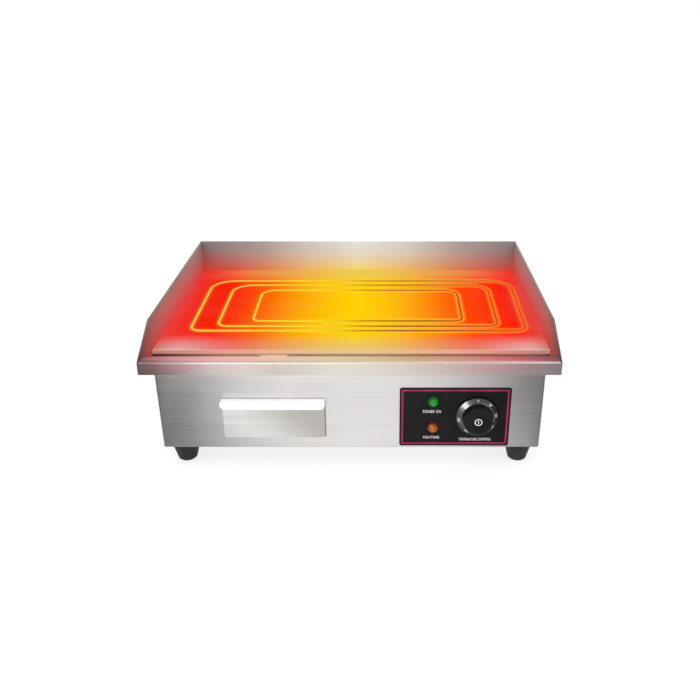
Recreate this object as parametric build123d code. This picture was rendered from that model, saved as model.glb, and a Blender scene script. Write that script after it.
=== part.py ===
from build123d import *
import os

# Countertop electric griddle, in millimetres.
# Origin: on the table, under the middle of the overall box.  +X right, +Y back, +Z up.

# ---------------------------------------------------------------- driving dimensions
WIDTH = 550.0              # over the side guards
APRON_Y = -200.0           # front face of the rolled apron
GUARD_BACK_Y = 200.0       # rear face of the rear guard
SHEET = 1.2                # body and guard sheet
HEM = 1.0                  # folded edge on the guards
HEM_ROUND = 1.0            # rounding of the folded edge
GUARD_TOP_BACK = 205.6     # guard height at the back
GUARD_KINK_Y = -136.0      # where the side guard starts to drop
GUARD_KINK_Z = 195.3
APRON_TOP = 162.0
APRON_BOTTOM = 143.5
GUARD_IN = 272.8           # inner face of the side guards, from the middle
REAR_IN = 197.8            # inner face of the rear guard

PLATE_TOP = 153.0
PLATE_T = 6.0
PLATE_X = 272.5
PLATE_FRONT = -141.0
PLATE_BACK = 197.5
PLATE_UNDER = PLATE_TOP - PLATE_T

BODY_X = 257.0             # outside of the body sides, from the middle
BODY_FRONT = -192.5
BODY_BACK = 185.8
BODY_TOP = 145.8
FOOT_H = 29.6
FLOOR_T = 1.2              # bottom plate
FLOOR_TOP = FOOT_H + FLOOR_T
BEND = 3.0                 # outside bend radius at the two front corners

FOOT_X = 232.0
FOOT_Y = 168.0
FOOT_R_TOP = 19.0
FOOT_R_BOTTOM = 13.0

DRAIN_X = -108.0
DRAIN_W = 37.5

DRAWER_X0 = -171.3         # drawer front, left and right edges
DRAWER_X1 = -33.7
DRAWER_Z0 = 46.5
DRAWER_TOP = 105.5         # top of the handle lip
DRAWER_PROUD = 0.2         # space between the drawer front and the body
HANDLE_FRONT = -207.0
HANDLE_DROP = 9.5
TRAY_BACK = 50.0
TRAY_TOP = 96.0
TRAY_Z = 50.0

LABEL = (65.4, 213.8, 32.8, 121.2)
LABEL_T = 0.7
LAMP_X = 110.3
LAMP_ZS = (101.2, 61.3)
LENS_R = 8.0
KNOB_X = 169.3
KNOB_Z = 79.6
SKIRT_R = 28.0
GRIP_R = 20.5
KNOB_FACE = -212.0
SPINDLE_R = 3.0

ELEMENT_R = 4.0
ELEMENT_Z = PLATE_UNDER - ELEMENT_R - 0.1
LOOPS = {
    "outer": (232.0, -77.0, 137.0, 40.0),
    "middle": (196.0, -58.0, 117.0, 34.0),
    "inner": (152.0, -38.0, 91.0, 28.0),
}
LOOP_END_X = (40.0, 58.0)  # where each loop turns down, left and right of the break
ELEMENT_LOW = 100.0
BAR_XS = (-110.0, 110.0)
STUD_YS = (-96.0, 27.0, 156.0)
PAN_Z = 112.0
BOARD_TOP = 129.0

GLAND_X = 195.0
GLAND_Z = 78.0
GLAND_END = 212.0


# ---------------------------------------------------------------- small helpers
def block(x0, x1, y0, y1, z0, z1):
    """A plain block between two corners."""
    middle = Pos((x0 + x1) / 2, (y0 + y1) / 2, (z0 + z1) / 2)
    return middle * Box(x1 - x0, y1 - y0, z1 - z0)


def rod_z(x, y, z0, z1, radius):
    return Pos(x, y, (z0 + z1) / 2) * Cylinder(radius, z1 - z0)


def rod_y(x, z, y0, y1, radius):
    return Pos(x, (y0 + y1) / 2, z) * Rot(90, 0, 0) * Cylinder(radius, y1 - y0)


def folded(plane, points, radii, thickness, width, side=Side.RIGHT):
    """Sheet bent along a path, the same section over the whole width."""
    path = FilletPolyline(*points, radius=radii)
    section = make_face(offset(path, thickness, side=side))
    return extrude(plane * section, width / 2, both=True)


def turned(points):
    """A turned solid about Z from (radius, height) points."""
    outline = Plane.XZ * make_face(Polyline(*points, close=True))
    return revolve(outline, Axis.Z)


def facing_front(x, y, z, shape):
    """Stand a turned solid on the front face, its height towards the cook."""
    return Pos(x, y, z) * Rot(90, 0, 0) * shape


def facing_back(x, y, z, shape):
    return Pos(x, y, z) * Rot(-90, 0, 0) * shape


def hexagon(radius, height):
    return Pos(0, 0, height / 2) * extrude(RegularPolygon(radius, 6), height / 2, both=True)


def hex_nut(across, height, hole):
    """A hexagon nut standing on z = 0."""
    corner = across / 2 / 0.866
    body = hexagon(corner, height)
    return body - Pos(0, 0, height / 2) * Cylinder(hole, height + 2)


def pan_screw(head_r, head_h, shank_r, length):
    """Pan-head screw, head above z = 0 and shank below it, with a cross recess."""
    head = turned([(0, 0), (head_r, 0), (head_r, head_h * 0.45), (head_r * 0.62, head_h), (0, head_h)])
    slot = Pos(0, 0, head_h) * (Box(head_r * 1.1, head_r * 0.24, head_h * 0.8) + Box(head_r * 0.24, head_r * 1.1, head_h * 0.8))
    return head - slot + Pos(0, 0, -length / 2) * Cylinder(shank_r, length)


def run_of(points, radii, radius):
    """A round tube or wire swept along a rounded route."""
    route = FilletPolyline(*points, radius=radii)
    section = Plane(origin=route @ 0, z_dir=route % 0) * Circle(radius)
    return sweep(section, path=route)


# ---------------------------------------------------------------- cooking surface
def griddle_plate():
    plate = block(-PLATE_X, PLATE_X, PLATE_FRONT, PLATE_BACK, PLATE_UNDER, PLATE_TOP)
    front_top = plate.edges().filter_by(Axis.X).sort_by(Axis.Z)[-2:].sort_by(Axis.Y)[0]
    plate = fillet(front_top, 1.2)
    corners = plate.edges().filter_by(Axis.Z)
    return fillet(corners, 2.0)


def side_guard(sign):
    """Upright sheet at one end of the plate, sloping down to the apron."""
    top = [(APRON_Y + SHEET, APRON_TOP), (GUARD_KINK_Y, GUARD_KINK_Z), (REAR_IN, GUARD_TOP_BACK)]
    low = [(REAR_IN, APRON_BOTTOM), (APRON_Y + SHEET, APRON_BOTTOM)]
    sheet = extrude(Plane.YZ * make_face(Polyline(*top, *low, close=True)), SHEET)
    under = [(y, z - 9.0) for y, z in reversed(top)]
    hem = extrude(Plane.YZ * make_face(Polyline(*top, *under, close=True)), HEM)
    guard = Pos(GUARD_IN, 0, 0) * sheet + Pos(GUARD_IN + SHEET, 0, 0) * hem
    guard = round_hem(guard, top)
    return guard if sign > 0 else mirror(guard, Plane.YZ)


def round_hem(guard, top):
    """Round both long corners of the folded top edge, one straight run after the other."""
    for (y0, z0), (y1, z1) in zip(top, top[1:]):
        middle = ((y0 + y1) / 2, (z0 + z1) / 2)
        run = [e for e in guard.edges() if abs(e.center().Y - middle[0]) < 6 and abs(e.center().Z - middle[1]) < 2]
        run = [e for e in run if e.length > 20]
        guard = fillet(run, HEM_ROUND)
    return guard


def rear_guard():
    half = WIDTH / 2
    sheet = block(-half, half, REAR_IN, REAR_IN + SHEET, APRON_BOTTOM, GUARD_TOP_BACK)
    hem = block(-half, half, REAR_IN + SHEET, GUARD_BACK_Y, GUARD_TOP_BACK - 9, GUARD_TOP_BACK)
    guard = sheet + hem
    long_top = guard.edges().filter_by(Axis.X).filter_by_position(Axis.Z, GUARD_TOP_BACK - 0.1, GUARD_TOP_BACK + 0.1)
    return fillet(long_top, HEM_ROUND)


def front_gutter():
    """Apron, rolled lip, grease channel and the ledge under the plate, one folded sheet."""
    path = [
        (APRON_Y, APRON_BOTTOM),
        (APRON_Y, APRON_TOP),
        (-183.0, 159.4),
        (-153.0, 148.4),
        (-153.0, 138.0),
        (PLATE_FRONT + 0.6, 138.0),
        (PLATE_FRONT + 0.6, PLATE_UNDER),
        (-118.0, PLATE_UNDER),
    ]
    sheet = folded(Plane.YZ, path, [2.2, 40, 1.6, 1.5, 1.5, 1.6], SHEET, 2 * GUARD_IN)
    for sign in (-1, 1):
        end = sorted((sign * GUARD_IN, sign * WIDTH / 2))
        sheet += block(end[0], end[1], APRON_Y, APRON_Y + SHEET, APRON_BOTTOM, APRON_TOP - 2.2)
        stop = sorted((sign * GUARD_IN, sign * (GUARD_IN - SHEET)))
        sheet += block(stop[0], stop[1], -153.6, PLATE_FRONT + 1.2, 137.4, PLATE_UNDER - 1.0)
    half = DRAIN_W / 2
    sheet -= block(DRAIN_X - half, DRAIN_X + half, -157.0, PLATE_FRONT - 1.5, 134.0, 152.0)
    return sheet


def drain_spout():
    """Four-sided funnel that drops the grease into the drawer."""
    wide = Pos(DRAIN_X, -149.9, 136.8) * Rectangle(DRAIN_W + 4, 15.8)
    narrow = Pos(DRAIN_X, -149.9, 100.0) * Rectangle(24.0, 12.0)
    outer = loft([wide, narrow])
    wide_in = Pos(DRAIN_X, -149.9, 136.9) * Rectangle(DRAIN_W + 2, 13.8)
    narrow_in = Pos(DRAIN_X, -149.9, 99.9) * Rectangle(22.0, 10.0)
    return outer - loft([wide_in, narrow_in])


def end_rail(sign):
    """Angle that carries one end of the plate and ties the guard to the body."""
    top = block(236.0, GUARD_IN, -117.4, 173.4, BODY_TOP, PLATE_UNDER)
    leg = block(GUARD_IN - SHEET, GUARD_IN, -117.4, 173.4, APRON_BOTTOM, PLATE_UNDER)
    rail = top + leg
    return rail if sign > 0 else mirror(rail, Plane.YZ)


def rear_rail():
    top = block(-GUARD_IN, GUARD_IN, 174.0, REAR_IN, BODY_TOP, PLATE_UNDER)
    leg = block(-GUARD_IN, GUARD_IN, REAR_IN - SHEET, REAR_IN, APRON_BOTTOM, PLATE_UNDER)
    return top + leg


# ---------------------------------------------------------------- body
def housing_shell():
    """Front and both sides in one wrapped sheet, with returns along every free edge."""
    inner = BODY_X - SHEET
    tall = BODY_TOP - FLOOR_TOP
    middle_z = (BODY_TOP + FLOOR_TOP) / 2
    outline = [(-BODY_X, BODY_BACK), (-BODY_X, BODY_FRONT), (BODY_X, BODY_FRONT), (BODY_X, BODY_BACK)]
    wall = folded(Plane.XY, outline, [BEND, BEND], SHEET, tall, side=Side.LEFT)
    shell = Pos(0, 0, middle_z) * wall
    for sign in (-1, 1):
        side = sorted((sign * inner, sign * (inner - 13.0)))
        back = BODY_BACK - SHEET
        shell += block(side[0], side[1], -138.0, BODY_BACK, BODY_TOP - SHEET, BODY_TOP)
        shell += block(side[0], side[1], -183.0, BODY_BACK, FLOOR_TOP, FLOOR_TOP + SHEET)
        shell += block(side[0], side[1], back, BODY_BACK, FLOOR_TOP, BODY_TOP)
        cheek = sorted((sign * 240.0, sign * (BODY_X + 1)))
        shell -= block(cheek[0], cheek[1], -154.4, -138.6, 136.8, BODY_TOP + 1)
    shell += block(-240.0, 240.0, BODY_FRONT + SHEET, BODY_FRONT + 13.0, FLOOR_TOP, FLOOR_TOP + SHEET)
    shell -= drawer_cut_out()
    shell -= rod_y(KNOB_X, KNOB_Z, BODY_FRONT - 2, BODY_FRONT + 3, 5.2)
    for z in LAMP_ZS:
        shell -= rod_y(LAMP_X, z, BODY_FRONT - 2, BODY_FRONT + 3, 5.2)
    for dx in (-14, 14):
        shell -= rod_y(KNOB_X + dx, KNOB_Z, BODY_FRONT - 2, BODY_FRONT + 3, 2.1)
    for x, z in PANEL_SCREWS:
        shell -= rod_y(x, z, BODY_BACK - 4, BODY_BACK + 2, 1.75)
    for x, y in FLOOR_SCREWS:
        shell -= rod_z(x, y, FLOOR_TOP - 2, FLOOR_TOP + 4, 1.75)
    return shell


def drawer_cut_out():
    gap = 1.3
    x0 = DRAWER_X0 + 2.8 - gap
    x1 = DRAWER_X1 - 2.8 + gap
    return block(x0, x1, BODY_FRONT - 2, BODY_FRONT + 3, TRAY_Z - gap, TRAY_TOP + 2.0)


PANEL_SCREWS = [(x, z) for x in (-249.3, 249.3) for z in (50.0, 90.0, 130.0)]
FLOOR_SCREWS = [(x, y) for x in (-249.3, 249.3) for y in (-110.0, 0.0, 110.0)]
FLOOR_SCREWS = FLOOR_SCREWS + [(x, -185.5) for x in (-150.0, 0.0, 150.0)]
FEET = [(sx * FOOT_X, sy * FOOT_Y) for sx in (-1, 1) for sy in (-1, 1)]


def rear_panel():
    """Screwed-on back with two banks of vent slots and the cable hole."""
    panel = block(-256.2, 256.2, BODY_BACK, BODY_BACK + SHEET, FLOOR_TOP, BODY_TOP)
    panel += block(-238.0, 238.0, 174.2, BODY_BACK, BODY_TOP - SHEET, BODY_TOP)
    for bank in (-150.0, 60.0):
        for step in range(9):
            slot = Pos(bank + 11.0 * step, BODY_BACK, 108.0) * Rot(90, 0, 0) * SlotOverall(34.0, 5.0, rotation=90)
            panel -= extrude(slot, 6.0, both=True)
    panel -= rod_y(GLAND_X, GLAND_Z, BODY_BACK - 2, BODY_BACK + 4, 10.1)
    for x, z in PANEL_SCREWS:
        panel -= rod_y(x, z, BODY_BACK - 2, BODY_BACK + 4, 2.1)
    return panel


def bottom_plate():
    plate = block(-256.2, 256.2, -191.6, BODY_BACK + SHEET, FOOT_H, FLOOR_TOP)
    corners = plate.edges().filter_by(Axis.Z)
    plate = fillet(corners, 2.2)
    for row in range(4):
        for step in range(12):
            slot = Pos(20.0 + 13.0 * step, -40.0 + 44.0 * row, FOOT_H) * SlotOverall(32.0, 5.0, rotation=90)
            plate -= extrude(slot, 6.0, both=True)
    for x, y in FEET:
        plate -= rod_z(x, y, FOOT_H - 2, FLOOR_TOP + 2, 2.7)
    for x, y in FLOOR_SCREWS:
        plate -= rod_z(x, y, FOOT_H - 2, FLOOR_TOP + 2, 2.1)
    return plate


def rubber_foot(x, y):
    foot = turned([
        (0, 0), (FOOT_R_BOTTOM - 1.5, 0), (FOOT_R_BOTTOM, 1.5),
        (FOOT_R_TOP, 24.0), (FOOT_R_TOP, FOOT_H), (0, FOOT_H),
    ])
    foot -= Pos(0, 0, 8.0) * Cylinder(6.5, 16.01)
    foot -= Pos(0, 0, 24.0) * Cylinder(2.7, 20.0)
    return Pos(x, y, 0) * foot


def foot_screws():
    screw = Pos(0, 0, 14.8) * Rot(180, 0, 0) * pan_screw(4.6, 3.4, 2.5, 24.0)
    return [Pos(x, y, 0) * screw for x, y in FEET]


def foot_washers():
    washer = Pos(0, 0, 15.4) * (Cylinder(6.2, 1.2) - Cylinder(2.7, 3.0))
    return [Pos(x, y, 0) * washer for x, y in FEET]


def foot_nuts():
    nut = hex_nut(8.0, 4.0, 2.5)
    return [Pos(x, y, FLOOR_TOP) * nut for x, y in FEET]


def panel_screws():
    screw = pan_screw(3.4, 2.4, 1.75, 9.0)
    return [facing_back(x, BODY_BACK + SHEET, z, screw) for x, z in PANEL_SCREWS]


def floor_screws():
    screw = Rot(180, 0, 0) * pan_screw(3.4, 2.4, 1.75, 9.0)
    return [Pos(x, y, FOOT_H) * screw for x, y in FLOOR_SCREWS]


# ---------------------------------------------------------------- grease drawer
def drawer_front():
    """Drawer front with its pull folded out of the same sheet."""
    back = BODY_FRONT - DRAWER_PROUD
    path = [(back, DRAWER_Z0), (back, DRAWER_TOP), (HANDLE_FRONT, DRAWER_TOP), (HANDLE_FRONT, DRAWER_TOP - HANDLE_DROP)]
    width = DRAWER_X1 - DRAWER_X0
    middle = (DRAWER_X0 + DRAWER_X1) / 2
    sheet = Pos(middle, 0, 0) * folded(Plane.YZ, path, [2.0, 2.4], SHEET, width, side=Side.LEFT)
    low = sheet.edges().filter_by(Axis.Y)
    front_low = low.filter_by_position(Axis.Y, HANDLE_FRONT - 0.1, HANDLE_FRONT + SHEET + 0.1)
    front_low = front_low.sort_by(Axis.Z)[:2]
    sheet = fillet(front_low, 6.5)
    door_low = sheet.edges().filter_by(Axis.Y).sort_by(Axis.Z)[:2]
    return fillet(door_low, 3.5)


def drawer_tray():
    x0 = DRAWER_X0 + 2.8
    x1 = DRAWER_X1 - 2.8
    front = BODY_FRONT - DRAWER_PROUD
    tray = block(x0, x1, front, TRAY_BACK, TRAY_Z, TRAY_TOP)
    tray = fillet(tray.edges().filter_by(Axis.Z), 4.0)
    inside = block(x0 + 1, x1 - 1, front + 1, TRAY_BACK - 1, TRAY_Z + 1, TRAY_TOP + 1)
    return tray - fillet(inside.edges().filter_by(Axis.Z), 3.0)


def drawer_rail(sign):
    """Guide beside the drawer: foot, upright, shelf under the tray and a lip over it."""
    web = (DRAWER_X1 - DRAWER_X0) / 2 - 2.0
    path = [(web + 13.0, FLOOR_TOP + SHEET), (web, FLOOR_TOP + SHEET), (web, 97.8), (web - 9.0, 97.8)]
    y0 = -189.0
    y1 = 66.0
    rail = folded(Plane.XZ, path, [1.3, 1.3], SHEET, y1 - y0, side=Side.RIGHT)
    rail = Pos(0, (y0 + y1) / 2, 0) * rail
    rail += block(web - 10.0, web + 0.1, y0, y1, TRAY_Z - 1.5, TRAY_Z - 0.3)
    if sign < 0:
        rail = mirror(rail, Plane.YZ)
    return Pos((DRAWER_X0 + DRAWER_X1) / 2, 0, 0) * rail


# ---------------------------------------------------------------- control panel
def control_label():
    x0, x1, z0, z1 = LABEL
    label = block(x0, x1, BODY_FRONT - LABEL_T, BODY_FRONT, z0, z1)
    label = fillet(label.edges().filter_by(Axis.Y), 3.0)
    label -= rod_y(KNOB_X, KNOB_Z, BODY_FRONT - 2, BODY_FRONT + 2, 5.2)
    for z in LAMP_ZS:
        label -= rod_y(LAMP_X, z, BODY_FRONT - 2, BODY_FRONT + 2, 5.2)
    for dx in (-14, 14):
        label -= rod_y(KNOB_X + dx, KNOB_Z, BODY_FRONT - 2, BODY_FRONT + 2, 2.1)
    return label


LABEL_FACE = BODY_FRONT - LABEL_T
PANEL_IN = BODY_FRONT + SHEET


def lamp_lens(z):
    """Domed lens on the front of one indicator lamp."""
    curve = 8.6
    dome = Pos(0, 0, 3.0) * Cylinder(LENS_R, 6.0) & Pos(0, 0, 6.0 - curve) * Sphere(curve)
    return facing_front(LAMP_X, LABEL_FACE, z, dome)


def lamp_body(z):
    """Barrel behind the lens, with its two tabs."""
    barrel = rod_y(LAMP_X, z, LABEL_FACE, -164.0, 5.0)
    for dx in (-2.6, 2.6):
        barrel += block(LAMP_X + dx - 0.4, LAMP_X + dx + 0.4, -164.5, -156.0, z - 2.0, z + 2.0)
    return barrel


def lamp_nuts():
    nut = hex_nut(14.0, 3.0, 5.0)
    return [facing_back(LAMP_X, PANEL_IN, z, nut) for z in LAMP_ZS]


def dial_skirt():
    """Sloping numbered ring behind the knob."""
    ring = turned([(3.05, 0), (SKIRT_R - 0.6, 0), (SKIRT_R, 0.6), (SKIRT_R, 1.6), (GRIP_R + 0.5, 4.2), (3.05, 4.2)])
    return facing_front(KNOB_X, LABEL_FACE - 2.6, KNOB_Z, ring)


SKIRT_FACE = LABEL_FACE - 2.6 - 4.2


def knob_grip():
    deep = SKIRT_FACE - KNOB_FACE
    grip = turned([
        (6.0, 0), (GRIP_R, 0), (GRIP_R - 0.9, deep - 1.2), (GRIP_R - 2.1, deep),
        (9.0, deep), (9.0, deep - 1.0), (6.0, deep - 1.0),
    ])
    return facing_front(KNOB_X, SKIRT_FACE, KNOB_Z, grip)


def knob_bush():
    """Metal bush pressed in the knob and held on the spindle."""
    deep = SKIRT_FACE - KNOB_FACE - 1.0
    bush = turned([(SPINDLE_R, 0), (6.0, 0), (6.0, deep - 0.1), (SPINDLE_R, deep - 0.1)])
    return facing_front(KNOB_X, SKIRT_FACE, KNOB_Z, bush)


def knob_cap():
    """Centre disc that closes the knob over its bush."""
    cap = turned([(0, 0), (8.9, 0), (8.9, 0.6), (8.4, 0.9), (0, 0.9)])
    return facing_front(KNOB_X, KNOB_FACE + 1.0, KNOB_Z, cap)


def thermostat_spindle():
    return rod_y(KNOB_X, KNOB_Z, KNOB_FACE + 1.2, -172.0, SPINDLE_R)


def thermostat_body():
    """Switch block with its mounting plate and the neck around the spindle."""
    plate = block(KNOB_X - 20, KNOB_X + 20, PANEL_IN, PANEL_IN + 1.5, KNOB_Z - 15, KNOB_Z + 15)
    case = block(KNOB_X - 22, KNOB_X + 22, PANEL_IN + 1.5, -158.0, KNOB_Z - 18, KNOB_Z + 18)
    case = fillet(case.edges().filter_by(Axis.Y), 2.0)
    neck = rod_y(KNOB_X, KNOB_Z, LABEL_FACE - 0.3, PANEL_IN, 5.0)
    body = plate + case + neck
    body -= rod_y(KNOB_X, KNOB_Z, LABEL_FACE - 2, -171.0, SPINDLE_R + 0.06)
    for dx in (-14, 14):
        body -= rod_y(KNOB_X + dx, KNOB_Z, PANEL_IN - 1, PANEL_IN + 6, 1.7)
    return body


def thermostat_screws():
    screw = pan_screw(3.2, 1.9, 1.7, 7.6)
    return [facing_front(KNOB_X + dx, LABEL_FACE, KNOB_Z, screw) for dx in (-14, 14)]


THERMO_TABS = [(KNOB_X + dx, KNOB_Z + dz) for dx in (-12, 12) for dz in (-8, 8)]


def thermostat_tabs():
    return [block(x - 3.1, x + 3.1, -158.0, -147.0, z - 0.4, z + 0.4) for x, z in THERMO_TABS]


def capillary_tube():
    """Thin tube from the switch block up and under the plate to the bulb."""
    start = KNOB_Z + 18.0
    route = [(KNOB_X, -166.0, start), (KNOB_X, -166.0, 106.0), (KNOB_X, 20.0, 106.0),
             (84.0, 20.0, 106.0), (84.0, 20.0, 143.5), (60.5, 20.0, 143.5)]
    return run_of(route, [4, 10, 6, 6], 0.9)


def sensing_bulb():
    return Pos(20.5, 20.0, 143.5) * Rot(0, 90, 0) * Cylinder(3.2, 80.0)


def bulb_clip():
    """Saddle that holds the bulb up against the plate."""
    clip = block(14.0, 27.0, 9.0, 31.0, 139.3, 146.9)
    clip -= Pos(20.5, 20.0, 143.5) * Rot(0, 90, 0) * Cylinder(3.2, 30.0)
    clip -= block(13.0, 28.0, 16.8, 23.2, 143.5, 148.0)
    return clip


# ---------------------------------------------------------------- heating
def heating_element(name):
    """One tubular loop under the plate, both ends turned down at the back."""
    half, front, back, corner = LOOPS[name]
    left, right = LOOP_END_X
    high = ELEMENT_Z
    route = [(left, back, ELEMENT_LOW), (left, back, high), (-half, back, high), (-half, front, high),
             (half, front, high), (half, back, high), (right, back, high), (right, back, ELEMENT_LOW)]
    return run_of(route, [7, corner, corner, corner, corner, 7], ELEMENT_R)


def element_ends():
    return [(x, LOOPS[name][2]) for name in LOOPS for x in LOOP_END_X]


def element_terminals():
    """Threaded pin on each end of the three loops."""
    return [rod_z(x, y, ELEMENT_LOW - 12.0, ELEMENT_LOW, 2.0) for x, y in element_ends()]


def terminal_nuts():
    nut = hex_nut(7.0, 3.2, 2.0)
    return [Pos(x, y, ELEMENT_LOW - 8.0) * nut for x, y in element_ends()]


def clamp_bar(x):
    low = ELEMENT_Z - ELEMENT_R - 2.6
    bar = block(x - 9, x + 9, STUD_YS[0] - 9, STUD_YS[2] + 9, low, low + 2.5)
    for y in STUD_YS:
        bar -= rod_z(x, y, low - 2, low + 5, 2.7)
    return fillet(bar.edges().filter_by(Axis.Z).sort_by(Axis.Y)[:2], 3.0)


def plate_studs():
    return [rod_z(x, y, BOARD_TOP + 1.0, PLATE_UNDER, 2.5) for x in BAR_XS for y in STUD_YS]


def stud_nuts():
    nut = hex_nut(8.0, 4.0, 2.5)
    low = ELEMENT_Z - ELEMENT_R - 2.6 - 4.0
    return [Pos(x, y, low) * nut for x in BAR_XS for y in STUD_YS]


def insulation_board():
    board = block(-244.0, 244.0, -128.0, 176.0, PAN_Z + 1.0, BOARD_TOP)
    for x, y in element_ends():
        board -= rod_z(x, y, PAN_Z, BOARD_TOP + 1, 5.5)
    board -= rod_z(84.0, 20.0, PAN_Z, BOARD_TOP + 1, 3.0)
    return board


def insulation_pan():
    """Sheet pan that holds the board up, its rim under the body's top returns."""
    pan = block(-253.0, 253.0, -136.0, 178.0, PAN_Z, BODY_TOP - SHEET)
    pan -= block(-252.0, 252.0, -135.0, 177.0, PAN_Z + 1.0, BODY_TOP + 1)
    for x, y in element_ends():
        pan -= rod_z(x, y, PAN_Z - 1, PAN_Z + 3, 6.5)
    pan -= rod_z(84.0, 20.0, PAN_Z - 1, PAN_Z + 3, 3.0)
    return pan


# ---------------------------------------------------------------- supply and wiring
def gland_body():
    """Threaded body of the cable inlet, hexagon flange outside the back."""
    face = BODY_BACK + SHEET
    body = facing_back(GLAND_X, face, GLAND_Z, hexagon(14.0, 6.0))
    body += rod_y(GLAND_X, GLAND_Z, face - 12.0, face + 14.0, 10.0)
    return body - rod_y(GLAND_X, GLAND_Z, face - 14.0, face + 20.0, 6.5)


def gland_locknut():
    nut = hex_nut(25.0, 4.5, 10.0)
    return facing_back(GLAND_X, BODY_BACK - 4.5, GLAND_Z, nut)


def gland_seal():
    face = BODY_BACK + SHEET + 14.0
    seal = turned([(4.2, 0), (8.0, 0), (8.0, 5.5), (4.2, 5.5)])
    return facing_back(GLAND_X, face, GLAND_Z, seal)


def gland_cap():
    face = BODY_BACK + SHEET + 6.2
    deep = GLAND_END - face
    cap = turned([(10.0, 0), (12.8, 0), (12.8, deep - 5.0), (9.6, deep), (6.2, deep), (6.2, deep - 1.6), (10.0, deep - 5.0)])
    return facing_back(GLAND_X, face, GLAND_Z, cap)


BLOCK_XS = (168.0, 180.0, 192.0)
BLOCK_Y = 128.0


def terminal_block():
    body = block(160.0, 200.0, BLOCK_Y - 11, BLOCK_Y + 11, FLOOR_TOP, FLOOR_TOP + 20.0)
    for x in BLOCK_XS:
        body -= rod_y(x, FLOOR_TOP + 9.0, BLOCK_Y - 12, BLOCK_Y + 12, 2.6)
        for dy in (-5.5, 5.5):
            body -= rod_z(x, BLOCK_Y + dy, FLOOR_TOP + 12.0, FLOOR_TOP + 21.0, 2.6)
    return body


def block_screws():
    screws = []
    for x in BLOCK_XS:
        for dy in (-5.5, 5.5):
            head = rod_z(x, BLOCK_Y + dy, FLOOR_TOP + 12.5, FLOOR_TOP + 18.0, 2.4)
            head -= block(x - 3, x + 3, BLOCK_Y + dy - 0.4, BLOCK_Y + dy + 0.4, FLOOR_TOP + 17.0, FLOOR_TOP + 19.0)
            screws.append(head)
    return screws


EARTH_AT = (228.0, 90.0)


def earth_stud():
    return rod_z(*EARTH_AT, FLOOR_TOP, FLOOR_TOP + 16.0, 2.5)


def earth_nut():
    return Pos(EARTH_AT[0], EARTH_AT[1], FLOOR_TOP) * hex_nut(8.0, 4.0, 2.5)


def wire_live():
    """From the terminal block forward to the switch block."""
    x, z = THERMO_TABS[0]
    low = FLOOR_TOP + 9.0
    return run_of([(168.0, BLOCK_Y - 4, low), (168.0, 60.0, low), (x, 60.0, z - 2.3), (x, -150.0, z - 2.3)], [8, 8], 1.6)


def wire_switched():
    """From the switch block up and back to the loop ends."""
    x, z = THERMO_TABS[1]
    return run_of([(x, -150.0, z + 2.3), (x, 100.0, z + 2.3), (70.0, 137.0, 91.0), (62.6, 137.0, 91.0)], [12, 2], 1.6)


def wire_neutral():
    low = FLOOR_TOP + 9.0
    route = [(180.0, BLOCK_Y - 4, low), (180.0, 112.0, low + 2), (180.0, 104.0, low + 9), (37.5, 104.0, low + 9),
             (37.5, 133.0, 86.2)]
    return run_of(route, [6, 6, 8], 1.6)


def wire_earth():
    low = FLOOR_TOP + 9.0
    x, y = EARTH_AT
    return run_of([(192.0, BLOCK_Y - 4, low), (192.0, y, low), (x - 3.0, y, low)], [8], 1.6)


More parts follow.
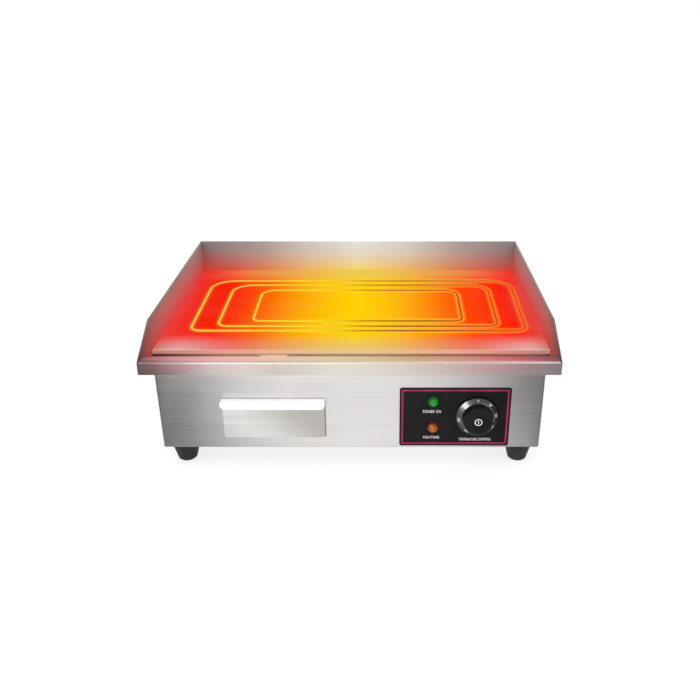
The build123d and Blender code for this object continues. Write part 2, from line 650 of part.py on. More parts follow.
# ---------------------------------------------------------------- write every sub-part
PARTS = {
    "griddle_plate": griddle_plate(),
    "left_guard": side_guard(-1),
    "right_guard": side_guard(1),
    "rear_guard": rear_guard(),
    "front_gutter": front_gutter(),
    "drain_spout": drain_spout(),
    "left_rail": end_rail(-1),
    "right_rail": end_rail(1),
    "rear_rail": rear_rail(),
    "housing_shell": housing_shell(),
    "rear_panel": rear_panel(),
    "bottom_plate": bottom_plate(),
    "foot_front_left": rubber_foot(-FOOT_X, -FOOT_Y),
    "foot_front_right": rubber_foot(FOOT_X, -FOOT_Y),
    "foot_back_left": rubber_foot(-FOOT_X, FOOT_Y),
    "foot_back_right": rubber_foot(FOOT_X, FOOT_Y),
    "foot_screws": foot_screws(),
    "foot_washers": foot_washers(),
    "foot_nuts": foot_nuts(),
    "panel_screws": panel_screws(),
    "floor_screws": floor_screws(),
    "drawer_front": drawer_front(),
    "drawer_tray": drawer_tray(),
    "drawer_rail_left": drawer_rail(-1),
    "drawer_rail_right": drawer_rail(1),
    "control_label": control_label(),
    "power_lamp_lens": lamp_lens(LAMP_ZS[0]),
    "heat_lamp_lens": lamp_lens(LAMP_ZS[1]),
    "lamp_bodies": [lamp_body(z) for z in LAMP_ZS],
    "lamp_nuts": lamp_nuts(),
    "dial_skirt": dial_skirt(),
    "knob_grip": knob_grip(),
    "knob_bush": knob_bush(),
    "knob_cap": knob_cap(),
    "thermostat_spindle": thermostat_spindle(),
    "thermostat_body": thermostat_body(),
    "thermostat_screws": thermostat_screws(),
    "thermostat_tabs": thermostat_tabs(),
    "capillary_tube": capillary_tube(),
    "sensing_bulb": sensing_bulb(),
    "bulb_clip": bulb_clip(),
    "heating_element_outer": heating_element("outer"),
    "heating_element_middle": heating_element("middle"),
    "heating_element_inner": heating_element("inner"),
    "element_terminals": element_terminals() + terminal_nuts(),
    "clamp_bars": [clamp_bar(x) for x in BAR_XS],
    "plate_studs": plate_studs(),
    "stud_nuts": stud_nuts(),
    "insulation_board": insulation_board(),
    "insulation_pan": insulation_pan(),
    "gland_body": gland_body(),
    "gland_locknut": gland_locknut(),
    "gland_seal": gland_seal(),
    "gland_cap": gland_cap(),
    "terminal_block": terminal_block(),
    "block_screws": block_screws(),
    "earth_stud_and_nut": [earth_stud(), earth_nut()],
    "wires_live": [wire_live(), wire_switched()],
    "wire_neutral": wire_neutral(),
    "wire_earth": wire_earth(),
}

os.makedirs("parts", exist_ok=True)
for name, shape in PARTS.items():
    if isinstance(shape, list):
        shape = Compound(children=shape)
    export_step(shape, f"parts/{name}.step")
    print(name, round(shape.volume, 1), len(shape.solids()), shape.is_valid)
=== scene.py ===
# %% [markdown]
# # A countertop electric griddle
# The sheet metal, the plate, the drawer, the knob and everything that carries load or moves is already a
# precise CAD model.  This lesson dresses it: it gives each surface a finish that behaves like the real one,
# adds the printed and moulded details that are too fine for the CAD, and sets up a small studio.

# %% Load the griddle
import math

import bmesh
import bpy
from mathutils import Matrix, Vector


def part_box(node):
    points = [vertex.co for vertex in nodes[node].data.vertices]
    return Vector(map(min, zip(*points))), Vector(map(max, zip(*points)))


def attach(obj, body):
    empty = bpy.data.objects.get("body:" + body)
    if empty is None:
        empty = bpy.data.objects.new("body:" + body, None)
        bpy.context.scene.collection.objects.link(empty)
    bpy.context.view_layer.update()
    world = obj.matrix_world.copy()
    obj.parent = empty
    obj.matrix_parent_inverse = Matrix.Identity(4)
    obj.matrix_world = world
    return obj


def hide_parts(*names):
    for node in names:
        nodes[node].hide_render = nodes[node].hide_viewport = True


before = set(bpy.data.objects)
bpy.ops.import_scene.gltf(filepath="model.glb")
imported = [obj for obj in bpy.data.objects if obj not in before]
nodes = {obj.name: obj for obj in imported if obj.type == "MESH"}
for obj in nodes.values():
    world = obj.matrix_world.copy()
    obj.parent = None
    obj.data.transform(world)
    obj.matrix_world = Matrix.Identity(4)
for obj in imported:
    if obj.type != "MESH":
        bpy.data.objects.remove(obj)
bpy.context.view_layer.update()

# %% [markdown]
# ## Small tools for finishes
# A finish is a tree of nodes that ends in one Principled shader.  The same few steps come back in every tree,
# so they get short names here: make a material, add a node, do a sum, turn a hex colour into light.  Colours
# are written the way a paint chart writes them and changed to linear light, which is what the shader expects.

# %% Finish tools
def shade(hex_colour):
    parts = [int(hex_colour[i:i + 2], 16) / 255 for i in (1, 3, 5)]
    return [p / 12.92 if p <= 0.04045 else ((p + 0.055) / 1.055) ** 2.4 for p in parts] + [1.0]


def new_finish(name, **sockets):
    made = bpy.data.materials.new(name)
    made.use_nodes = True
    shader = made.node_tree.nodes["Principled BSDF"]
    for socket, value in sockets.items():
        shader.inputs[socket.replace("_", " ")].default_value = value
    return made, made.node_tree, shader


def put(tree, kind, **settings):
    node = tree.nodes.new(kind)
    for key, value in settings.items():
        setattr(node, key, value)
    return node


def join(tree, source, socket):
    tree.links.new(source, socket)


def feed(tree, socket, value):
    if isinstance(value, (int, float)):
        socket.default_value = value
    else:
        join(tree, value, socket)


def sum_of(tree, operation, first, second=0.0, clamp=False):
    node = put(tree, "ShaderNodeMath", operation=operation, use_clamp=clamp)
    feed(tree, node.inputs[0], first)
    feed(tree, node.inputs[1], second)
    return node.outputs[0]


def spread(tree, value, low, high, new_low=0.0, new_high=1.0, kind="SMOOTHSTEP"):
    node = put(tree, "ShaderNodeMapRange", interpolation_type=kind)
    feed(tree, node.inputs["Value"], value)
    for socket, number in zip(("From Min", "From Max", "To Min", "To Max"), (low, high, new_low, new_high)):
        node.inputs[socket].default_value = number
    return node.outputs["Result"]


def ramp_of(tree, value, stops):
    """A colour, or a plain number, that follows stops of (place, colour or number), straight between them."""
    node = put(tree, "ShaderNodeValToRGB")
    ramp = node.color_ramp
    while len(ramp.elements) < len(stops):
        ramp.elements.new(0.5)
    for element, (place, stop) in zip(ramp.elements, stops):
        element.position = place
        element.color = shade(stop) if isinstance(stop, str) else (stop, stop, stop, 1.0)
    feed(tree, node.inputs["Fac"], value)
    return node.outputs["Color"]


def mixed(tree, share, first, second, kind="MIX"):
    node = put(tree, "ShaderNodeMix", data_type="RGBA", blend_type=kind)
    feed(tree, node.inputs["Factor"], share)
    for socket, value in (("A", first), ("B", second)):
        place = [s for s in node.inputs if s.name == socket and s.type == "RGBA"][0]
        if isinstance(value, str):
            place.default_value = shade(value)
        else:
            join(tree, value, place)
    return [s for s in node.outputs if s.type == "RGBA"][0]


def own_place(tree):
    """The x, y and z of a point on the piece, in its own coordinates."""
    place = put(tree, "ShaderNodeTexCoord")
    split = put(tree, "ShaderNodeSeparateXYZ")
    join(tree, place.outputs["Object"], split.inputs[0])
    return split.outputs["X"], split.outputs["Y"], split.outputs["Z"]


def tinted(tree, shader, tint):
    """Multiply the finish's colour by a tint."""
    colour_so_far = shader.inputs["Base Color"].links[0].from_socket
    join(tree, mixed(tree, 1.0, colour_so_far, tint, "MULTIPLY"), shader.inputs["Base Color"])


def lit_by(tree, shader, colour, share):
    """Blend a light-giving layer over the finish by a share."""
    light = put(tree, "ShaderNodeEmission")
    join(tree, colour, light.inputs["Color"])
    blend = put(tree, "ShaderNodeMixShader")
    join(tree, share, blend.inputs["Fac"])
    join(tree, shader.outputs["BSDF"], blend.inputs[1])
    join(tree, light.outputs["Emission"], blend.inputs[2])
    join(tree, blend.outputs["Shader"], tree.nodes["Material Output"].inputs["Surface"])


def grain(tree, scale, detail=3.0, roughness=0.5):
    """Noise on the piece's own coordinates, stretched by a different scale along each axis."""
    place = put(tree, "ShaderNodeTexCoord")
    stretch = put(tree, "ShaderNodeMapping")
    stretch.inputs["Scale"].default_value = scale
    noise = put(tree, "ShaderNodeTexNoise")
    noise.inputs["Scale"].default_value = 1.0
    noise.inputs["Detail"].default_value = detail
    noise.inputs["Roughness"].default_value = roughness
    join(tree, place.outputs["Object"], stretch.inputs["Vector"])
    join(tree, stretch.outputs["Vector"], noise.inputs["Vector"])
    return noise.outputs["Fac"]


def raise_by(tree, shader, height, strength, distance):
    bump = put(tree, "ShaderNodeBump")
    bump.inputs["Strength"].default_value = strength
    bump.inputs["Distance"].default_value = distance
    join(tree, height, bump.inputs["Height"])
    join(tree, bump.outputs["Normal"], shader.inputs["Normal"])


print("finish tools ready")

# %% [markdown]
# ## Brushed stainless sheet
# The sheet is linished: an abrasive belt leaves fine parallel scratches, so highlights smear across the grain
# and the surface is never one even grey.  It could be an image of scratches, but noise stretched hard along
# one axis gives the same lines at any size, and along two it runs level round a folded corner.  One noise
# makes the scratches, a second, wide one makes the faint smudges that hands and cloths leave; the scratches
# reach the roughness as well as the colour, the smudges only the roughness.

# %% Brushed stainless
def brushed_steel(name, along, light="#d6d4d2", dark="#cdcbc9", rough=0.30, depth=0.05):
    made, tree, shader = new_finish(name, Metallic=1.0, Roughness=rough)
    fine = [1900.0, 1900.0, 1900.0]
    for axis in along:
        fine["XYZ".index(axis)] = 9.0
    scratches = grain(tree, fine, 2.0, 0.6)
    streak = [520.0, 520.0, 520.0]
    for axis in along:
        streak["XYZ".index(axis)] = 3.0
    streaks = grain(tree, streak, 3.0, 0.6)
    smudges = grain(tree, (9.0, 9.0, 9.0), 4.0, 0.6)
    lines = sum_of(tree, "ADD", sum_of(tree, "MULTIPLY", scratches, 0.6), sum_of(tree, "MULTIPLY", streaks, 0.4))
    join(tree, mixed(tree, spread(tree, lines, 0.36, 0.64), dark, light), shader.inputs["Base Color"])
    wiped = spread(tree, smudges, 0.35, 0.7, -0.03, 0.04)
    scuffed = spread(tree, lines, 0.3, 0.7, rough - 0.03, rough + 0.04, "LINEAR")
    join(tree, sum_of(tree, "ADD", wiped, scuffed), shader.inputs["Roughness"])
    raise_by(tree, shader, lines, depth, 0.0001)
    return made


FRONT_HALF = 0.255             # half the body front, a little inside its folded corners


def body_sheet():
    """The wrapped body sheet: lines run level round all its faces, and the front carries painted shade, darker
    towards its ends and different at top and bottom, with a painted highlight band near its right end.
    """
    made = brushed_steel("wrapped_body_sheet_painted_shade", "XY", rough=0.30)
    tree = made.node_tree
    shader = tree.nodes["Principled BSDF"]
    x, _, z = own_place(tree)
    across = spread(tree, x, -FRONT_HALF, FRONT_HALF, kind="LINEAR")
    # Painted shade and highlight: one ramp for the top of the front and one for the bottom multiply the steel's
    # colour.
    high = ramp_of(tree, across, [(0.0, 0.64), (0.06, 0.68), (0.14, 0.73), (0.21, 0.80), (0.27, 0.84), (0.34, 0.90),
                                   (0.5, 0.92), (0.6, 0.96), (0.85, 0.92), (0.93, 0.84), (1.0, 0.78)])
    low = ramp_of(tree, across, [(0.0, 0.75), (0.06, 0.77), (0.14, 0.85), (0.21, 0.89), (0.27, 0.93), (0.34, 0.99),
                                  (0.5, 1.02), (0.6, 1.03), (0.85, 1.10), (0.93, 1.26), (0.97, 1.22), (1.0, 0.96)])
    top = spread(tree, z, 0.040, 0.115, kind="LINEAR")
    keep = sum_of(tree, "MULTIPLY", low, sum_of(tree, "SUBTRACT", 1.0, top))
    tinted(tree, shader, sum_of(tree, "ADD", keep, sum_of(tree, "MULTIPLY", high, top)))
    return made


painted_shade_body_steel = body_sheet()
front_steel = brushed_steel("linished_stainless_along_x", "X", rough=0.30)
back_steel = brushed_steel("linished_stainless_back", "X", "#d6d4d1", "#c2c0bd", rough=0.36)
zinc_sheet = brushed_steel("zinc_coated_sheet", "Y", "#b9bcbe", "#a3a6a9", rough=0.42)
print("stainless finishes:", front_steel.name, back_steel.name, zinc_sheet.name)

# %% [markdown]
# ## The heated plate
# The plate is ground steel.  It is shown hot, the way a catalogue draws heat: yellow over the middle, orange
# and red towards the ends, with the three heating loops drawn as lines.  On the real thing this is light, not
# paint, so the finish mixes bare steel with an emitting layer.  The layer's colour depends only on where a
# point is on the plate, so it stays put from every side.  Each loop is a rounded rectangle, and the distance
# to it is worked out with a few sums, which is exact at any size and needs no drawn image.

# %% Distance to one heating loop
LOOP_SIZES = ("centre x", "centre y", "half width", "half depth", "back corner", "front corner")
LOOPS = {                      # the six sizes above, in metres
    "outer": (0.0075, 0.0330, 0.2465, 0.1080, 0.038, 0.017),
    "middle": (0.0065, 0.0308, 0.2080, 0.0888, 0.032, 0.015),
    "inner": (0.0055, 0.0285, 0.1575, 0.0665, 0.023, 0.012),
}


def loop_distance_group():
    group = bpy.data.node_groups.new("distance_to_heating_loop", "ShaderNodeTree")
    for name in ("x", "y") + LOOP_SIZES:
        group.interface.new_socket(name, in_out="INPUT", socket_type="NodeSocketFloat")
    group.interface.new_socket("distance", in_out="OUTPUT", socket_type="NodeSocketFloat")
    enter = group.nodes.new("NodeGroupInput")
    leave = group.nodes.new("NodeGroupOutput")

    at_back = sum_of(group, "GREATER_THAN", enter.outputs["y"], enter.outputs["centre y"])
    wider = sum_of(group, "SUBTRACT", enter.outputs["back corner"], enter.outputs["front corner"])
    corner = sum_of(group, "ADD", enter.outputs["front corner"], sum_of(group, "MULTIPLY", at_back, wider))

    def over(value, centre, half):
        away = sum_of(group, "ABSOLUTE", sum_of(group, "SUBTRACT", enter.outputs[value], enter.outputs[centre]))
        straight = sum_of(group, "SUBTRACT", enter.outputs[half], corner)
        return sum_of(group, "SUBTRACT", away, straight)

    dx = over("x", "centre x", "half width")
    dy = over("y", "centre y", "half depth")
    out_x = sum_of(group, "MAXIMUM", dx, 0.0)
    out_y = sum_of(group, "MAXIMUM", dy, 0.0)
    high = sum_of(group, "MULTIPLY", out_y, out_y)
    squares = sum_of(group, "ADD", sum_of(group, "MULTIPLY", out_x, out_x), high)
    outside = sum_of(group, "SQRT", squares)
    inside = sum_of(group, "MINIMUM", sum_of(group, "MAXIMUM", dx, dy), 0.0)
    edge = sum_of(group, "SUBTRACT", sum_of(group, "ADD", outside, inside), corner)
    # The runs along the width are drawn a little thicker than the ends, as the eye sees them at a low angle.
    upright = sum_of(group, "DIVIDE", high, sum_of(group, "ADD", squares, 1e-9))
    flatter = sum_of(group, "SUBTRACT", 1.0, sum_of(group, "MULTIPLY", upright, 0.42))
    join(group, sum_of(group, "MULTIPLY", sum_of(group, "ABSOLUTE", edge), flatter), leave.inputs["distance"])
    return group


loop_distance = loop_distance_group()
print("loop distance group:", len(loop_distance.nodes), "nodes")

# %% The plate's finish
HALF_PLATE = 0.2725


def heated_plate():
    made, tree, shader = new_finish("heated_ground_steel", Metallic=1.0, Roughness=0.34)
    x, y, _ = own_place(tree)
    towards_back = spread(tree, y, 0.100, 0.200, 1.0, 0.86)
    across = spread(tree, sum_of(tree, "MULTIPLY", x, towards_back), -HALF_PLATE, HALF_PLATE, kind="LINEAR")
    splay = sum_of(tree, "SUBTRACT", 1.0, sum_of(tree, "MULTIPLY", sum_of(tree, "SUBTRACT", y, 0.033), 0.12))
    loop_x = sum_of(tree, "MULTIPLY", x, splay)

    nearest = None
    for size in LOOPS.values():
        loop = put(tree, "ShaderNodeGroup", node_tree=loop_distance)
        join(tree, loop_x, loop.inputs["x"])
        join(tree, y, loop.inputs["y"])
        for socket, number in zip(LOOP_SIZES, size):
            loop.inputs[socket].default_value = number
        away = loop.outputs["distance"]
        nearest = away if nearest is None else sum_of(tree, "MINIMUM", nearest, away)

    warm = ramp_of(tree, across, [
        (0.000, "#e8403c"), (0.035, "#f02c24"), (0.080, "#f4240c"), (0.130, "#fb2203"), (0.185, "#fd4001"),
        (0.245, "#fb6800"), (0.300, "#fe8e02"), (0.355, "#feaa02"), (0.430, "#fdc501"), (0.500, "#fed101"),
        (0.570, "#fdc701"), (0.645, "#fead02"), (0.700, "#fe9003"), (0.755, "#fb6f01"), (0.815, "#fd4600"),
        (0.870, "#ff3402"), (0.935, "#f92008"), (1.000, "#e04840"),
    ])
    halo = ramp_of(tree, across, [
        (0.00, "#f04a1c"), (0.15, "#f3500c"), (0.24, "#f47a06"), (0.32, "#fbb81c"), (0.42, "#fece18"),
        (0.52, "#fed41c"), (0.62, "#ffc828"), (0.72, "#ffbc34"), (0.80, "#ffa030"), (0.90, "#ff8424"),
        (1.00, "#fc6a26"),
    ])
    core = ramp_of(tree, across, [
        (0.00, "#ffc04a"), (0.16, "#ffc444"), (0.25, "#ffcc3a"), (0.33, "#ffd628"), (0.41, "#fdd41c"),
        (0.465, "#f0c414"), (0.52, "#c68a0a"), (0.60, "#9c5604"), (0.70, "#984404"), (0.80, "#c04806"),
        (0.90, "#e04a0c"), (1.00, "#e04a1c"),
    ])
    near = spread(tree, nearest, 0.0010, 0.0085, 0.95, 0.0)
    thick = spread(tree, across, 0.35, 0.60, 0.0026, 0.0020)
    on_line = sum_of(tree, "SUBTRACT", 1.0, sum_of(tree, "DIVIDE", nearest, thick), clamp=True)
    on_line = spread(tree, on_line, 0.05, 0.50)
    rim = spread(tree, nearest, 0.0030, 0.0052, 1.0, 0.0)
    rim = sum_of(tree, "MULTIPLY", spread(tree, nearest, 0.0016, 0.0026), rim)
    rim = sum_of(tree, "MULTIPLY", rim, spread(tree, across, 0.28, 0.40, 0.55, 0.0))
    ground = mixed(tree, rim, mixed(tree, near, warm, halo), "#e2620e")
    colour = mixed(tree, on_line, ground, core)

    middling = spread(tree, sum_of(tree, "ABSOLUTE", x), 0.150, 0.270, 1.0, 0.0)
    pale = sum_of(tree, "MULTIPLY", spread(tree, y, 0.130, 0.195, 0.0, 0.40), middling)
    colour = mixed(tree, pale, colour, "#f0d878")
    # On the plate's thin front face the glow is paler and 1.3 times as strong: a painted highlight on that face.
    colour = mixed(tree, spread(tree, y, -0.1408, -0.1400, 0.62, 0.0), colour, "#eecbb4")
    fade_in = sum_of(tree, "ADD", sum_of(tree, "MULTIPLY", middling, 0.32), 0.36)
    front = spread(tree, y, -0.142, -0.084)
    front = sum_of(tree, "ADD", fade_in, sum_of(tree, "MULTIPLY", front, sum_of(tree, "SUBTRACT", 1.0, fade_in)))
    back = spread(tree, y, 0.120, 0.200, 1.0, 0.80)
    strength = sum_of(tree, "MULTIPLY", front, back)
    # The painted highlight on the front face, 1.3 times as strong.
    strength = sum_of(tree, "MULTIPLY", strength, spread(tree, y, -0.1408, -0.1400, 1.30, 1.0))
    uneven = spread(tree, grain(tree, (22.0, 22.0, 22.0), 3.0), 0.3, 0.7, 0.98, 1.0)
    strength = sum_of(tree, "MULTIPLY", strength, uneven)

    scratches = grain(tree, (5.0, 1500.0, 1500.0), 3.0, 0.6)
    # The bare steel is lighter towards the ends and a darker copy in the middle: painted shade under the glow.
    bare = mixed(tree, spread(tree, scratches, 0.35, 0.65), "#dcd8d5", "#efecea")
    shaded = mixed(tree, spread(tree, scratches, 0.35, 0.65), "#a8a4a0", "#bab6b2")
    join(tree, mixed(tree, middling, bare, shaded), shader.inputs["Base Color"])
    join(tree, spread(tree, scratches, 0.3, 0.7, 0.40, 0.50, "LINEAR"), shader.inputs["Roughness"])
    raise_by(tree, shader, scratches, 0.1, 0.0001)

    lit_by(tree, shader, colour, strength)
    return made


plate_finish = heated_plate()
print("plate finish:", len(plate_finish.node_tree.nodes), "nodes")

# %% [markdown]
# ## Guards and gutter beside the heat
# The splash guards and the gutter are the same linished sheet, but they stand beside the hot plate, so their
# lower parts are lit by it.  A mirror of the plate alone would tint them to the very top.  The finish paints
# this directly: painted shade makes the sheet a little darker towards its ends, and a warm layer of painted
# light from the plate is strongest at the plate and fades out with height.  Heights, depths and colours are
# ramps, so each one can be read and tuned.

# %% Warm sheet finish
HALF_WIDTH, HALF_DEPTH = 0.275, 0.200
# The warm layer is painted light from the plate.
PAINTED_LIGHT_FROM = 0.150              # height at which the warm layer starts, at its strongest


def sheet_with_painted_light(name, along, painted_shade_ramp, painted_plate_light, share, rough, lift=0.0):
    """Brushed sheet with painted shade and a painted layer of the plate's light.  The three functions for the shade,
    the light and its share take the tree and x, y, z.
    """
    made = brushed_steel(name, along, rough=rough)
    tree = made.node_tree
    shader = tree.nodes["Principled BSDF"]
    x, y, z = own_place(tree)
    # Painted shade: a tone ramp multiplies the sheet's colour.
    tinted(tree, shader, painted_shade_ramp(tree, x, y, z))
    if lift:
        bump = shader.inputs["Normal"].links[0].from_node
        lean = put(tree, "ShaderNodeVectorMath", operation="ADD")
        join(tree, bump.outputs["Normal"], lean.inputs[0])
        lean.inputs[1].default_value = (0.0, 0.0, lift)
        unit = put(tree, "ShaderNodeVectorMath", operation="NORMALIZE")
        join(tree, lean.outputs[0], unit.inputs[0])
        join(tree, unit.outputs[0], shader.inputs["Normal"])
    # Painted light from the plate, blended over the sheet as a light-giving layer.
    lit_by(tree, shader, painted_plate_light(tree, x, y, z), share(tree, x, y, z))
    return made


def across_ramp(stops):
    """A colour that changes with x over the whole width of the griddle."""
    return lambda tree, x, y, z: ramp_of(tree, spread(tree, x, -HALF_WIDTH, HALF_WIDTH, kind="LINEAR"), stops)


def depth_ramp(stops):
    """A colour or a number that changes with y, from the front edge to the back."""
    return lambda tree, x, y, z: ramp_of(tree, spread(tree, y, -HALF_DEPTH, HALF_DEPTH, kind="LINEAR"), stops)


def facing(tree, axis, low, high):
    """1 where the surface faces along an axis (0 x, 1 y, 2 z) as far as high, 0 where only as far as low."""
    place = put(tree, "ShaderNodeNewGeometry")
    split = put(tree, "ShaderNodeSeparateXYZ")
    join(tree, place.outputs["True Normal"], split.inputs[0])
    return spread(tree, split.outputs[axis], low, high)


print("warm sheet helper ready")

# %% Rear guard and side guards
def rear_share(tree, x, y, z):
    height = ramp_of(tree, spread(tree, z, PAINTED_LIGHT_FROM, 0.206, kind="LINEAR"),
                      [(0.0, 0.86), (0.12, 0.78), (0.46, 0.36), (0.72, 0.11), (0.95, 0.0)])
    return sum_of(tree, "MULTIPLY", height, facing(tree, 1, -0.2, -0.6))


# Painted shade across the width, darker at the ends, and painted light from the plate on the inner face, yellow over
# the middle and red at the ends.
rear_steel = sheet_with_painted_light(
    "rear_guard_sheet", "X",
    across_ramp([(0.0, "#9a9290"), (0.19, "#bcb3af"), (0.35, "#e8e3df"), (0.5, "#ffffff"), (0.65, "#f4f0ea"),
                 (0.81, "#cac1bc"), (1.0, "#a09896")]),
    across_ramp([(0.0, "#d6382c"), (0.10, "#dc4a2e"), (0.19, "#e87438"), (0.35, "#f6b23c"), (0.5, "#fcd636"),
                 (0.65, "#f4b23c"), (0.81, "#e67a3c"), (0.92, "#d85038"), (1.0, "#cc4438")]),
    rear_share, rough=0.45, lift=0.42)


def side_share(tree, x, y, z):
    height = ramp_of(tree, spread(tree, z, PAINTED_LIGHT_FROM, 0.210, kind="LINEAR"),
                      [(0.0, 0.96), (0.14, 0.86), (0.40, 0.66), (0.70, 0.34), (1.0, 0.12)])
    depth = depth_ramp([(0.0, 0.04), (0.05, 0.16), (0.16, 0.52), (0.24, 0.74), (0.36, 0.96), (0.62, 1.0),
                        (0.80, 0.86), (0.92, 0.66), (1.0, 0.50)])(tree, x, y, z)
    inner = spread(tree, sum_of(tree, "ABSOLUTE", x), 0.2729, 0.2732, 1.0, 0.0)
    return sum_of(tree, "MULTIPLY", inner, sum_of(tree, "MULTIPLY", height, depth))


# Painted shade along the depth, darker towards the front, and painted light from the plate on the inner faces, red
# at the plate and paler with height.
side_steel = sheet_with_painted_light(
    "side_guard_sheet", "Y",
    depth_ramp([(0.0, "#645a5a"), (0.1, "#8a8282"), (0.25, "#b0a8a8"), (0.6, "#c0b8b8"), (1.0, "#e6e2e0")]),
    lambda tree, x, y, z: ramp_of(tree, spread(tree, z, PAINTED_LIGHT_FROM, 0.205, kind="LINEAR"),
                                  [(0.0, "#e63a38"), (0.35, "#e05454"), (0.7, "#da7072"), (1.0, "#d08a8a")]),
    side_share, rough=0.5, lift=0.30)
print("guard finishes:", rear_steel.name, side_steel.name)

# %% Gutter and apron
def gutter_share(tree, x, y, z):
    top = facing(tree, 2, 0.5, 0.9)
    channel = spread(tree, y, -0.199, -0.186, 0.30, 0.84)
    face = spread(tree, z, 0.143, 0.163, 0.08, 0.20)
    return sum_of(tree, "ADD", sum_of(tree, "MULTIPLY", top, channel),
                  sum_of(tree, "MULTIPLY", sum_of(tree, "SUBTRACT", 1.0, top), face))


# Painted shade across the width, darker towards the left end, with a pinkish tint towards the right; and painted
# light from the plate, strongest on the upward faces of the channel.
gutter_steel = sheet_with_painted_light(
    "gutter_sheet", "X",
    across_ramp([(0.0, "#867c7c"), (0.045, "#978486"), (0.1, "#bfaeae"), (0.17, "#ded7d6"), (0.245, "#e8dfdd"),
                 (0.32, "#dad3d0"), (0.39, "#e1ded7"), (0.46, "#edede4"), (0.54, "#f1edea"), (0.61, "#f6eeeb"),
                 (0.68, "#f4eae7"), (0.755, "#f3e4e4"), (0.83, "#f2dedf"), (0.90, "#feeaed"), (0.955, "#fff3f9"),
                 (1.0, "#f0edf3")]),
    across_ramp([(0.0, "#9a6466"), (0.07, "#d89698"), (0.17, "#f8b4ae"), (0.30, "#f4c8ae"), (0.42, "#eccea8"),
                 (0.54, "#dcc48e"), (0.66, "#cea878"), (0.77, "#d49078"), (0.84, "#d07068"), (0.91, "#bc5452"),
                 (1.0, "#7c565a")]),
    gutter_share, rough=0.34)
print("gutter finish:", gutter_steel.name)

# %% [markdown]
# ## Plastics, rubber and small metals
# The knob, the gland and the lamps are moulded, so their sheen is broken by a faint orange-peel skin.  Rubber
# is duller and a little dusty.  Turned brass and zinc-plated steel are metals with a short, even grain.  One
# helper makes each family, and the numbers say how shiny and how rough that family is.

# %% Moulded, rubber and plated finishes
def moulded(name, light, dark, rough, peel=900.0, depth=0.12, **more):
    made, tree, shader = new_finish(name, Roughness=rough, **more)
    skin = grain(tree, (peel, peel, peel), 3.0, 0.55)
    patches = grain(tree, (45.0, 45.0, 45.0), 3.0, 0.5)
    join(tree, mixed(tree, spread(tree, patches, 0.35, 0.65), dark, light), shader.inputs["Base Color"])
    join(tree, spread(tree, skin, 0.3, 0.7, rough - 0.04, rough + 0.06, "LINEAR"), shader.inputs["Roughness"])
    raise_by(tree, shader, skin, depth, 0.0002)
    return made


def plated(name, light, dark, rough):
    made, tree, shader = new_finish(name, Metallic=1.0, Roughness=rough)
    spots = grain(tree, (420.0, 420.0, 420.0), 4.0, 0.6)
    join(tree, mixed(tree, spread(tree, spots, 0.35, 0.65), dark, light), shader.inputs["Base Color"])
    join(tree, spread(tree, spots, 0.3, 0.7, rough - 0.05, rough + 0.08, "LINEAR"), shader.inputs["Roughness"])
    raise_by(tree, shader, spots, 0.1, 0.0001)
    return made


knob_black = moulded("moulded_knob_black", "#151313", "#0d0c0c", 0.42, Specular_IOR_Level=0.17)
skirt_black = moulded("polished_dial_ring", "#141416", "#0c0c0e", 0.22, 1500.0, 0.03, Specular_IOR_Level=0.85)
label_black = moulded("printed_label_black", "#141415", "#0e0e10", 0.45, 1300.0, 0.05, Specular_IOR_Level=0.12)
foot_rubber = moulded("foot_rubber", "#201f20", "#141415", 0.62, 500.0, 0.25, Specular_IOR_Level=0.3)
gland_nylon = moulded("gland_nylon", "#2c2c2e", "#212123", 0.48)
seal_rubber = moulded("seal_rubber", "#1a1a1a", "#111111", 0.7)
ceramic = moulded("glazed_ceramic", "#ece7da", "#dcd6c6", 0.28)
fibre_board = moulded("ceramic_fibre_board", "#e6e0d0", "#cfc8b6", 0.9, 260.0, 0.5)
brown_wire = moulded("brown_wire_cover", "#5a2f1a", "#482412", 0.45)
blue_wire = moulded("blue_wire_cover", "#1f4f9c", "#183f80", 0.45)
zinc_bright = plated("zinc_plated_steel", "#c9cbce", "#a9abae", 0.3)
brass = plated("turned_brass", "#d9b070", "#bd9050", 0.3)
copper = plated("drawn_copper", "#d79a78", "#b87450", 0.35)
sheath = plated("heat_darkened_sheath", "#6e625a", "#4a403a", 0.5)
print("moulded and plated finishes ready")

# %% The two-colour earth wire
def earth_wire_finish():
    made, tree, shader = new_finish("green_yellow_wire_cover", Roughness=0.45)
    place = put(tree, "ShaderNodeTexCoord")
    stripe = put(tree, "ShaderNodeTexWave", bands_direction="DIAGONAL")
    stripe.inputs["Scale"].default_value = 95.0
    join(tree, place.outputs["Object"], stripe.inputs["Vector"])
    half = spread(tree, stripe.outputs["Fac"], 0.45, 0.55)
    join(tree, mixed(tree, half, "#2f7d2c", "#d8c52e"), shader.inputs["Base Color"])
    raise_by(tree, shader, grain(tree, (900.0, 900.0, 900.0)), 0.1, 0.0001)
    return made


earth_cover = earth_wire_finish()
print("earth wire:", earth_cover.name)

# %% [markdown]
# ## The drawer pull
# The drawer front is one folded sheet.  Its pull carries a painted highlight, white and faintly light-giving at
# the fold, while the flat below stays satin, with painted shade that darkens it towards the top right and a
# painted shadow line at its cut right edge.  A second material slot would need the sheet cut in two, so the
# finish itself looks at where a point is and moves from satin to the painted highlight at the fold.

